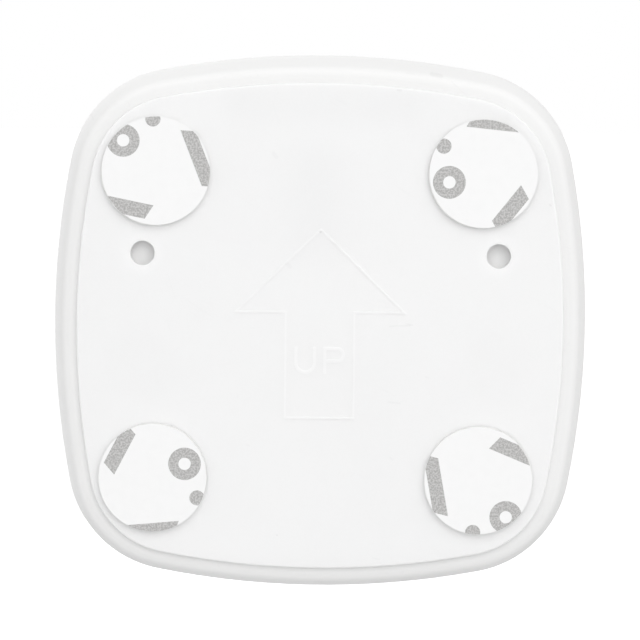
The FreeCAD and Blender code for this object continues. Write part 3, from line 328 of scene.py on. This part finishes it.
past = calc(bar_mark, "MAXIMUM", past_end, past_side)
INK_EDGE = 0.04
bar_mark.links.new(ramp(bar_mark, past, -INK_EDGE * MM, INK_EDGE * MM, 1.0, 0.0), going["Mask"])

roll_print, coming, going = new_group("roll print", {"Vector": (0.0, 0.0, 0.0)}, ["Mask"])
PRINT_BARS = ((-5.9, 3.8, 0.85, 4.4, 1.05, 0.45), (1.6, -6.7, -0.15, 3.4, 1.1, 0.4))
PRINT_DOTS = ((5.5, 2.4, 2.5, 1.0), (2.5, 6.9, 1.2, 0.0))
total = None
for x, z, turn, half_length, half_width, slant in PRINT_BARS:
    mark = put(roll_print, "Group", {
        "Vector": coming["Vector"], "Place": (x * MM, 0.0, z * MM), "Turn": turn,
        "Half Length": half_length * MM, "Half Width": half_width * MM, "Slant": slant,
    }, node_tree=bar_mark)
    total = mark if total is None else calc(roll_print, "MAXIMUM", total, mark)
for x, z, *radii in PRINT_DOTS:
    disc, hole = (put(roll_print, "Group", {
        "Vector": coming["Vector"], "Place": (x * MM, 0.0, z * MM), "Half Length": 0.0,
        "Half Width": (radius - 2 * INK_EDGE) * MM, "Softness": INK_EDGE * MM,
    }, node_tree=pill_mark) for radius in radii)
    total = calc(roll_print, "MAXIMUM", total, calc(roll_print, "SUBTRACT", disc, hole))
roll_print.links.new(total, going["Mask"])

LINER_TURNS = {1: (0.5, 0.3, 0.35), 2: (-0.6, 0.7, -0.75), 3: (0.4, -0.9, 2.2), 4: (-0.7, -0.5, -2.6)}
for number, (shift_x, shift_z, turn) in LINER_TURNS.items():
    liner, tree, shader, where = new_material(f"liner_paper_{number}", Roughness=0.5, IOR=1.45)
    spot = middle(f"release_liner_{number}")
    local = put(tree, "VectorMath", {
        0: where, 1: (spot.x + shift_x * MM, 0.0, spot.z + shift_z * MM),
    }, operation="SUBTRACT")
    local = put(tree, "VectorRotate", {"Vector": local, "Angle": turn}, rotation_type="Y_AXIS")
    ink = put(tree, "Group", {"Vector": local}, node_tree=roll_print)
    dots = put(tree, "TexNoise", {"Vector": where, "Scale": 3600.0, "Detail": 1.0, "Roughness": 0.6})
    grey = tint(tree, ramp(tree, dots, 0.38, 0.62), (0.385, 0.38, 0.375), (0.56, 0.555, 0.55))
    fibre = put(tree, "TexNoise", {"Vector": where, "Scale": 700.0, "Detail": 4.0})
    paper = tint(tree, ramp(tree, fibre, 0.4, 0.7), (0.897, 0.897, 0.897), (0.888, 0.888, 0.888))
    tree.links.new(tint(tree, ink, paper, grey), shader.inputs["Base Color"])
    tree.links.new(put(tree, "Bump", {"Distance": 0.000006, "Height": fibre}), shader.inputs["Normal"])
    dress(liner, f"release_liner_{number}")

# Rear shell: the white moulded half of the lamp that lies against the wall plate. Its rounded rim
# shows all round the plate, with a few rub marks near the upper corner and painted shade in a band
# beside the plate. The face under the plate is painted paler, painted light that brightens what shows
# through the plate's screw holes.
rim_rubs = (
    (-16.9, 37.4, 0.2, 0.7, 0.28, 0.15, 0.8), (-20.3, 35.4, 0.75, 1.6, 0.08, 0.06, 0.5),
    (-13.0, 37.6, 0.1, 0.6, 0.1, 0.08, 0.4), (34.2, 30.6, 0.9, 0.4, 0.1, 0.08, 0.4),
)
# Painted light: the face under the plate is painted paler; painted shade darkens the rim beside the
# plate.
painted_light_under_plate = ((0.0, 0.0, 0.0, 0.0, 32.0, 3.0, 0.9),)
rear_white = moulded_plastic(
    "rear_white", (0.89, 0.889, 0.885), (0.828, 0.827, 0.823), 0.7, 0.0003, 0.000003, 0.45,
    spots=rim_rubs, painted_light=painted_light_under_plate, dust_and_shade=(-2.5, -2.14, 0.6), IOR=1.4,
)
dress(rear_white, "rear_shell")

# Front shell: the other white half, moulded in the same plastic, with the ledge for the diffuser
# and the slot for the mode knob in its lower side.
front_white = moulded_plastic(
    "front_white", (0.875, 0.871, 0.86), (0.82, 0.816, 0.805), 0.45, 0.0003, 0.0000025, 0.35, IOR=1.45,
)
dress(front_white, "front_shell")

# Diffuser: an opal polycarbonate cup, 1.4 mm thick, smooth in front, that spreads the light of the
# eight lights behind it.
opal = moulded_plastic(
    "opal", (0.885, 0.885, 0.87), (0.86, 0.86, 0.845), 0.36, 0.0012, 0.000002, 0.2, IOR=1.5,
    Subsurface_Weight=0.6, Subsurface_Scale=0.002, Subsurface_Radius=(1.0, 0.95, 0.9),
)
dress(opal, "diffuser")

# Reflector tray: a glossy white tray behind the diffuser, screwed down with the board.
tray_white = moulded_plastic(
    "tray_white", (0.93, 0.93, 0.93), (0.89, 0.89, 0.89), 0.28, 0.0008, 0.000001, 0.1, IOR=1.5,
)
dress(tray_white, "reflector_tray")

# Sensor shroud: a white ring and tube, moulded in one, that holds the lens by its lip and keeps
# the lamp's own light from the sensor.
bezel_white = moulded_plastic(
    "bezel_white", (0.88, 0.88, 0.87), (0.83, 0.83, 0.82), 0.3, 0.0005, 0.000002, 0.3, IOR=1.5,
)
dress(bezel_white, "sensor_shroud")

# Motion lens: a milky polyethylene dome, 0.6 mm thick, moulded with small facets that each look a
# different way. Its flange lies under the shroud's lip.
LENS_RADIUS = 7.3
LENS_FLANGE = 8.2
lens_low, lens_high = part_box("pir_lens")
lens_seat = Vector((0.0, lens_low.y + LENS_RADIUS * MM, 0.0))
shape = bmesh.new()
bmesh.ops.create_icosphere(shape, subdivisions=3, radius=LENS_RADIUS * MM)
corners = list(shape.verts)
ridges = list(shape.edges)
bmesh.ops.poke(shape, faces=shape.faces)
bmesh.ops.rotate_edges(shape, edges=ridges)
bmesh.ops.dissolve_verts(shape, verts=corners)
reach = max(vertex.co.length for vertex in shape.verts)
bmesh.ops.scale(shape, vec=(LENS_RADIUS * MM / reach,) * 3, verts=shape.verts)
bmesh.ops.bisect_plane(
    shape, geom=shape.verts[:] + shape.edges[:] + shape.faces[:], plane_co=(0.0, 0.0, 0.0),
    plane_no=(0.0, 0.0, 1.0), clear_inner=True,
)
facets = [face for face in shape.faces if face.calc_area() > 1.2 * MM * MM]
for thickness, depth in ((0.09, -0.05), (0.22, 0.02), (0.02, -0.03), (0.2, 0.02), (0.02, -0.03)):
    bmesh.ops.inset_individual(shape, faces=facets, thickness=thickness * MM, depth=depth * MM)
rim = [edge for edge in shape.edges if edge.is_boundary]
grown = bmesh.ops.extrude_edge_only(shape, edges=rim)["geom"]
for vertex in grown:
    if isinstance(vertex, bmesh.types.BMVert):
        vertex.co = Vector((vertex.co.x, vertex.co.y, 0.0)).normalized() * LENS_FLANGE * MM
to_front = Matrix.Rotation(math.pi / 2, 3, "X")
bmesh.ops.rotate(shape, cent=(0.0, 0.0, 0.0), matrix=to_front, verts=shape.verts)
bmesh.ops.translate(shape, vec=lens_seat, verts=shape.verts)
bmesh.ops.recalc_face_normals(shape, faces=shape.faces)
milky = moulded_plastic(
    "milky", (0.86, 0.865, 0.86), (0.80, 0.805, 0.80), 0.32, 0.0006, 0.000002, 0.15, IOR=1.52,
    Subsurface_Weight=0.5, Subsurface_Scale=0.0015, Subsurface_Radius=(1.0, 1.0, 1.0),
)
lens = piece("motion_lens", shape, milky, "lamp", ["pir_lens"], crease=12)
wall = lens.modifiers.new("wall", "SOLIDIFY")
wall.thickness = 0.55 * MM
wall.offset = -1.0

# Motion sensor: a drawn steel can on a glass-sealed header, with a dark filter window, behind the
# lens.
drawn_metal, coming, going = new_group(
    "drawn metal", {"Vector": (0.0, 0.0, 0.0), "Stretch": (1.0, 1.0, 1.0)}, ["Height", "Tone"]
)
pulled = {0: coming["Vector"], 1: coming["Stretch"]}
pulled = put(drawn_metal, "VectorMath", pulled, operation="MULTIPLY")
strokes = put(drawn_metal, "TexNoise", {"Vector": pulled, "Scale": 1500.0, "Detail": 3.0})
stains = put(drawn_metal, "TexNoise", {"Vector": coming["Vector"], "Scale": 220.0, "Detail": 4.0})
drawn_metal.links.new(strokes, going["Height"])
drawn_metal.links.new(ramp(drawn_metal, stains, 0.4, 0.68), going["Tone"])


def plated(name, colour, dull, roughness, stretch=(1.0, 1.0, 1.0), relief=0.000004):
    """Bare or plated metal with drawing lines and a little tarnish."""
    material, tree, shader, where = new_material(name, Metallic=1.0)
    lines = put(tree, "Group", {"Vector": where, "Stretch": stretch}, node_tree=drawn_metal)
    tone = lines.node.outputs["Tone"]
    tree.links.new(tint(tree, tone, colour, dull), shader.inputs["Base Color"])
    rough = calc(tree, "ADD", calc(tree, "MULTIPLY", tone, 0.14), roughness)
    tree.links.new(rough, shader.inputs["Roughness"])
    tree.links.new(put(tree, "Bump", {"Distance": relief, "Height": lines}), shader.inputs["Normal"])
    return material


can_steel = plated("can_steel", (0.66, 0.66, 0.65), (0.55, 0.55, 0.53), 0.26, (1.0, 0.1, 1.0))
dress(can_steel, "sensor_can", "sensor_header")
filter_glass, tree, shader, where = new_material("filter_glass", Roughness=0.08, IOR=1.7)
smears = put(tree, "TexNoise", {"Vector": where, "Scale": 500.0, "Detail": 2.0})
dark_glass = tint(tree, smears, (0.035, 0.028, 0.035), (0.06, 0.05, 0.06))
tree.links.new(dark_glass, shader.inputs["Base Color"])
dress(filter_glass, "sensor_window")

# Light sensing: a small clear sensor on the board and the acrylic rod that brings it daylight
# through the shroud's ring.
clear_acrylic, tree, shader, where = new_material(
    "clear_acrylic", Transmission_Weight=0.7, IOR=1.49, Base_Color=(0.80, 0.84, 0.86, 1.0),
)
polish = put(tree, "TexNoise", {"Vector": where, "Scale": 1200.0, "Detail": 2.0})
tree.links.new(ramp(tree, polish, 0.3, 0.7, 0.28, 0.4), shader.inputs["Roughness"])
dress(clear_acrylic, "light_pipe", "light_sensor")

# Circuit board: glass-fibre board under green solder mask, with copper tracks that show through it
# and tinned rings round its screw holes.
board_green, tree, shader, where = new_material("board_green", IOR=1.5)
flat = put(tree, "VectorRotate", {"Vector": where, "Angle": math.pi / 2}, rotation_type="X_AXIS")
tracks = put(tree, "TexBrick", {
    "Vector": flat, "Color1": (0.0, 0.0, 0.0, 1.0), "Color2": (0.0, 0.0, 0.0, 1.0),
    "Mortar": (1.0, 1.0, 1.0, 1.0), "Scale": 260.0, "Mortar Size": 0.05, "Brick Width": 1.7,
    "Row Height": 0.6,
})
weave = put(tree, "TexNoise", {"Vector": where, "Scale": 2500.0, "Detail": 2.0})
mask_green = tint(tree, weave, (0.012, 0.10, 0.045), (0.02, 0.14, 0.06))
coat = tint(tree, tracks, mask_green, (0.035, 0.21, 0.085))
BOARD_HOLE_X, BOARD_HOLE_Z = 21.2, 13.0
TIN_RADIUS = 2.0
TIN = (0.62, 0.62, 0.60)
tinned = None
for x in (-BOARD_HOLE_X, BOARD_HOLE_X):
    for z in (-BOARD_HOLE_Z, BOARD_HOLE_Z):
        ring = put(tree, "Group", {
            "Vector": where, "Place": (x * MM, 0.0, z * MM), "Half Length": 0.0,
            "Half Width": TIN_RADIUS * MM, "Softness": 0.05 * MM,
        }, node_tree=pill_mark)
        tinned = ring if tinned is None else calc(tree, "MAXIMUM", tinned, ring)
tree.links.new(tint(tree, tinned, coat, TIN), shader.inputs["Base Color"])
tree.links.new(calc(tree, "MULTIPLY", tinned, 0.9), shader.inputs["Metallic"])
tree.links.new(ramp(tree, weave, 0.3, 0.7, 0.22, 0.34), shader.inputs["Roughness"])
tree.links.new(put(tree, "Bump", {"Distance": 0.00003, "Height": tracks}), shader.inputs["Normal"])
dress(board_green, "main_board")

# Lights: eight white surface-mounted packages, each with a round well of yellow phosphor.
WELL_NEAR, WELL_FAR = 7.462, 18.016
led_package, tree, shader, where = new_material("led_package", Roughness=0.35, IOR=1.5)
folded = put(tree, "VectorMath", {0: where}, operation="ABSOLUTE")
side = put(tree, "SeparateXYZ", {0: folded})
up = side.node.outputs["Z"]
sorted_place = put(tree, "CombineXYZ", {
    "X": calc(tree, "MAXIMUM", side, up), "Y": 0.0, "Z": calc(tree, "MINIMUM", side, up),
})
phosphor = put(tree, "Group", {
    "Vector": sorted_place, "Place": (WELL_FAR * MM, 0.0, WELL_NEAR * MM), "Half Length": 0.0,
    "Half Width": 1.1 * MM, "Softness": 0.03 * MM,
}, node_tree=pill_mark)
powder = put(tree, "TexNoise", {"Vector": where, "Scale": 4000.0, "Detail": 2.0})
yellow = tint(tree, powder, (0.86, 0.66, 0.08), (0.93, 0.78, 0.18))
tree.links.new(tint(tree, phosphor, (0.88, 0.88, 0.86), yellow), shader.inputs["Base Color"])
tree.links.new(put(tree, "Bump", {"Distance": 0.00001, "Height": powder}), shader.inputs["Normal"])
dress(led_package, *(f"led_{number}" for number in range(1, 9)))

# Chips: black moulded epoxy with a pin-one dot and tinned legs, two alike, soldered to the back of
# the board.
CHIP_HALF = 1.94
TIN_EDGE = 0.03
for number in (1, 2):
    chip_epoxy, tree, shader, where = new_material(f"chip_epoxy_{number}", IOR=1.5)
    spot = middle(f"control_chip_{number}")
    local = put(tree, "VectorMath", {0: where, 1: spot}, operation="SUBTRACT")
    sideways = calc(tree, "ABSOLUTE", put(tree, "SeparateXYZ", {0: local}))
    legs = ramp(tree, sideways, CHIP_HALF * MM, (CHIP_HALF + TIN_EDGE) * MM)
    dot = put(tree, "Group", {
        "Vector": local, "Place": (-1.2 * MM, 0.0, 1.8 * MM), "Half Length": 0.0,
        "Half Width": 0.25 * MM, "Softness": 0.03 * MM,
    }, node_tree=pill_mark)
    dust_and_shade = put(tree, "TexNoise", {"Vector": where, "Scale": 5000.0, "Detail": 2.0})
    body = tint(tree, dust_and_shade, (0.022, 0.022, 0.026), (0.04, 0.04, 0.045))
    body = tint(tree, dot, body, (0.12, 0.12, 0.12))
    tree.links.new(tint(tree, legs, body, TIN), shader.inputs["Base Color"])
    tree.links.new(legs, shader.inputs["Metallic"])
    tree.links.new(ramp(tree, dust_and_shade, 0.3, 0.7, 0.35, 0.6), shader.inputs["Roughness"])
    tree.links.new(put(tree, "Bump", {"Distance": 0.00001, "Height": dust_and_shade}), shader.inputs["Normal"])
    dress(chip_epoxy, f"control_chip_{number}")

# Capacitors: bare aluminium cans, crimped near their base, standing off the board towards the tub.
CAN_SIDE = (
    (0.0, 0.05), (1.5, 0.05), (1.82, 0.12), (1.98, 0.35), (1.98, 3.9), (1.78, 4.1),
    (1.78, 4.3), (1.98, 4.5), (1.98, 5.2), (1.85, 5.38), (0.0, 5.38),
)
can_aluminium = plated("can_aluminium", (0.60, 0.61, 0.63), (0.50, 0.51, 0.53), 0.3, (1.0, 0.15, 1.0))
for number in (1, 2):
    node = f"capacitor_{number}"
    low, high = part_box(node)
    foot = Vector((middle(node).x, high.y, middle(node).z))
    shape = spun(CAN_SIDE, foot, steps=48)
    piece(f"can_{number}", shape, can_aluminium, "lamp", [node])

# Resistors: small ceramic bodies with dark glaze and tinned end caps, soldered flat to the board.
RESISTOR_HALF = 0.64
for number in range(1, 5):
    glaze, tree, shader, where = new_material(f"resistor_glaze_{number}", IOR=1.55)
    local = put(tree, "VectorMath", {0: where, 1: middle(f"resistor_{number}")}, operation="SUBTRACT")
    sideways = calc(tree, "ABSOLUTE", put(tree, "SeparateXYZ", {0: local}))
    ends = ramp(tree, sideways, RESISTOR_HALF * MM, (RESISTOR_HALF + TIN_EDGE) * MM)
    dust_and_shade = put(tree, "TexNoise", {"Vector": where, "Scale": 4000.0, "Detail": 2.0})
    body = tint(tree, dust_and_shade, (0.03, 0.03, 0.034), (0.07, 0.07, 0.075))
    tree.links.new(tint(tree, ends, body, TIN), shader.inputs["Base Color"])
    tree.links.new(ends, shader.inputs["Metallic"])
    tree.links.new(ramp(tree, dust_and_shade, 0.3, 0.7, 0.2, 0.4), shader.inputs["Roughness"])
    dress(glaze, f"resistor_{number}")

# Battery cells: three AAA cells in printed film over a steel can, plain grey-blue with a pale band
# at the plus end, the middle one upside down.
CELL_SIDE = (
    (0.0, 0.0), (3.4, 0.0), (3.9, 0.12), (4.75, 0.12), (5.08, 0.32), (5.18, 0.7), (5.18, 42.5),
    (5.06, 42.9), (4.7, 43.1), (4.3, 43.05), (4.1, 43.3), (2.5, 43.45), (1.95, 43.55),
    (1.88, 43.75), (1.86, 44.2), (1.6, 44.45), (0.0, 44.5),
)
CELL_STRIPES = ((33.0, 41.8), (31.65, 32.35))
PRINT_EDGE = 0.05
FILM_ENDS = (0.14, 42.95)
film_colours = ((0.10, 0.14, 0.19), (0.62, 0.64, 0.66))
for number in (1, 2, 3):
    node = f"battery_cell_{number}"
    low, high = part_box(node)
    up_way = -1.0 if number == 2 else 1.0
    foot = Vector((middle(node).x, middle(node).y, low.z if up_way > 0 else high.z))
    axis = Vector((0.0, 0.0, up_way))
    material, tree, shader, where = new_material(f"cell_film_{number}")
    reach = put(tree, "SeparateXYZ", {0: where}).node.outputs["Z"]
    reach = calc(tree, "MULTIPLY", calc(tree, "SUBTRACT", reach, foot.z), up_way / MM)
    wide, narrow = (calc(
        tree, "MULTIPLY", ramp(tree, reach, start - PRINT_EDGE, start + PRINT_EDGE),
        ramp(tree, reach, end - PRINT_EDGE, end + PRINT_EDGE, 1.0, 0.0),
    ) for start, end in CELL_STRIPES)
    film = tint(tree, calc(tree, "MAXIMUM", wide, narrow), *film_colours)
    bare = ramp(tree, reach, FILM_ENDS[1], FILM_ENDS[1] + PRINT_EDGE)
    base = ramp(tree, reach, FILM_ENDS[0], FILM_ENDS[0] + PRINT_EDGE, 1.0, 0.0)
    bare = calc(tree, "MAXIMUM", bare, base)
    rub = put(tree, "Group", {"Vector": where, "Amount": 0.5}, node_tree=hairlines)
    film = tint(tree, rub, film, (0.45, 0.46, 0.47))
    tree.links.new(tint(tree, bare, film, (0.64, 0.63, 0.60)), shader.inputs["Base Color"])
    tree.links.new(ramp(tree, bare, 0.0, 1.0, 0.55, 1.0), shader.inputs["Metallic"])
    tree.links.new(ramp(tree, rub, 0.0, 1.0, 0.28, 0.45), shader.inputs["Roughness"])
    piece(f"cell_{number}", spun(CELL_SIDE, foot, axis, 64), material, "lamp", [node])

# Battery contacts: springs of nickel-plated wire, stamped end plates and the two plates that join
# neighbouring cells.
nickel = plated("nickel", (0.66, 0.64, 0.60), (0.54, 0.52, 0.48), 0.22, (0.15, 1.0, 1.0))
dress(
    nickel, "battery_spring_1", "battery_spring_2", "battery_spring_3",
    "contact_bridge_lower", "contact_bridge_upper", "contact_negative", "contact_positive",
)

# Magnets and steel discs: two nickel-plated magnets glued into the lamp, and two zinc-plated steel
# discs glued into the plate, which hold the lamp on.
MAGNET_SIDE = (
    (0.0, 0.0), (4.7, 0.0), (4.92, 0.08), (4.98, 0.28),
    (4.98, 1.72), (4.92, 1.92), (4.7, 2.0), (0.0, 2.0),
)
magnet_nickel = plated("magnet_nickel", (0.72, 0.71, 0.69), (0.60, 0.59, 0.56), 0.12)
zinc = plated("zinc", (0.60, 0.61, 0.63), (0.50, 0.50, 0.50), 0.3)
for number in (1, 2):
    node = f"magnet_{number}"
    low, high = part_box(node)
    seat = Vector((middle(node).x, high.y, middle(node).z))
    shape = spun(MAGNET_SIDE, seat, steps=64)
    piece(f"round_magnet_{number}", shape, magnet_nickel, "lamp", [node])
dress(zinc, "strike_disc_1", "strike_disc_2", "case_screws", "board_screws")

# Mode switch: a black slide switch on the board, its lever, and the pale grey knob in the lamp's
# lower side that the lever carries.
nylon = moulded_plastic(
    "nylon", (0.045, 0.045, 0.048), (0.03, 0.03, 0.03), 0.45, 0.0004, 0.000003, 0.3, IOR=1.5,
)
dress(nylon, "switch_body", "switch_lever")
knob_grey = moulded_plastic(
    "knob_grey", (0.62, 0.62, 0.61), (0.56, 0.56, 0.55), 0.4, 0.0003, 0.000003, 0.4, IOR=1.5,
)
dress(knob_grey, "mode_knob")

# Studio: a pale floor well below the lamp, soft boxes above and on both sides, and a white
# background for the camera.
FLOOR_DROP = 0.2
FLOOR_REACH = 6.0
world = bpy.data.worlds.new("studio")
bpy.context.scene.world = world
world.use_nodes = True
tree = world.node_tree
tree.nodes.clear()
path = put(tree, "LightPath", {})
seen = calc(tree, "MAXIMUM", path.node.outputs["Is Camera Ray"], path.node.outputs["Is Glossy Ray"])
seen = calc(tree, "MAXIMUM", seen, path.node.outputs["Is Transmission Ray"])
height = put(tree, "SeparateXYZ", {0: put(tree, "TexCoord", {}).node.outputs["Generated"]})
height = height.node.outputs["Z"]
ambient = ramp(tree, height, 0.0, 0.9, 1.0, 0.71)
level = tint(tree, seen, ambient, (1.0, 1.0, 1.0))
air = put(tree, "Background", {"Color": level, "Strength": 1.0})
tree.links.new(air, tree.nodes.new("ShaderNodeOutputWorld").inputs[0])

shape = bmesh.new()
bmesh.ops.create_grid(shape, x_segments=1, y_segments=1, size=FLOOR_REACH)
bmesh.ops.translate(shape, vec=(0.0, 0.0, -FLOOR_DROP), verts=shape.verts)
mesh = bpy.data.meshes.new("floor")
shape.to_mesh(mesh)
shape.free()
floor = bpy.data.objects.new("floor", mesh)
bpy.context.scene.collection.objects.link(floor)
paper_sweep, tree, shader, where = new_material(
    "paper_sweep", Roughness=0.9, Base_Color=(0.66, 0.66, 0.66, 1.0),
)
path = put(tree, "LightPath", {})
seen = calc(tree, "MAXIMUM", path.node.outputs["Is Camera Ray"], path.node.outputs["Is Glossy Ray"])
seen = calc(tree, "MAXIMUM", seen, path.node.outputs["Is Transmission Ray"])
shader.inputs["Emission Color"].default_value = (1.0, 1.0, 1.0, 1.0)
tree.links.new(calc(tree, "MULTIPLY", seen, 0.6), shader.inputs["Emission Strength"])
mesh.materials.append(paper_sweep)


def soft_box(name, place, aim, width, power):
    """A square soft box at a place, turned to its aim."""
    light = bpy.data.lights.new(name, "AREA")
    light.shape = "SQUARE"
    light.size = width
    light.energy = power
    thing = bpy.data.objects.new(name, light)
    bpy.context.scene.collection.objects.link(thing)
    place, aim = Vector(place), Vector(aim)
    turn = (aim - place).to_track_quat("-Z", "Y").to_matrix().to_4x4()
    thing.matrix_world = Matrix.Translation(place) @ turn


soft_box("box_behind", (-0.21, 1.0, 0.6), (0.0, 0.0, 0.0), 1.2, 5.7)
soft_box("box_front", (0.35, -1.1, 0.2), (0.0, 0.0, 0.0), 0.9, 3.6)

# Camera: level with the back of the lamp and a little above it, a long lens turned by half a degree.
DISTANCE = 0.6
RISE = math.radians(4.9)
ROLL = math.radians(0.56)
HALF_VIEW = 0.04835
aim = Vector((0.0, -0.01212, 0.00009))
lens_data = bpy.data.cameras.new("camera")
lens_data.sensor_width = 36.0
lens_data.lens = 18.0 / (HALF_VIEW / DISTANCE)
lens_data.clip_start = 0.01
lens_data.clip_end = 50.0
camera = bpy.data.objects.new("camera", lens_data)
bpy.context.scene.collection.objects.link(camera)
away = Vector((0.0, math.cos(RISE), math.sin(RISE)))
turn = (-away).to_track_quat("-Z", "Y").to_matrix().to_4x4() @ Matrix.Rotation(ROLL, 4, "Z")
camera.matrix_world = Matrix.Translation(aim + away * DISTANCE) @ turn
bpy.context.scene.camera = camera
bpy.context.scene.view_settings.view_transform = "Standard"
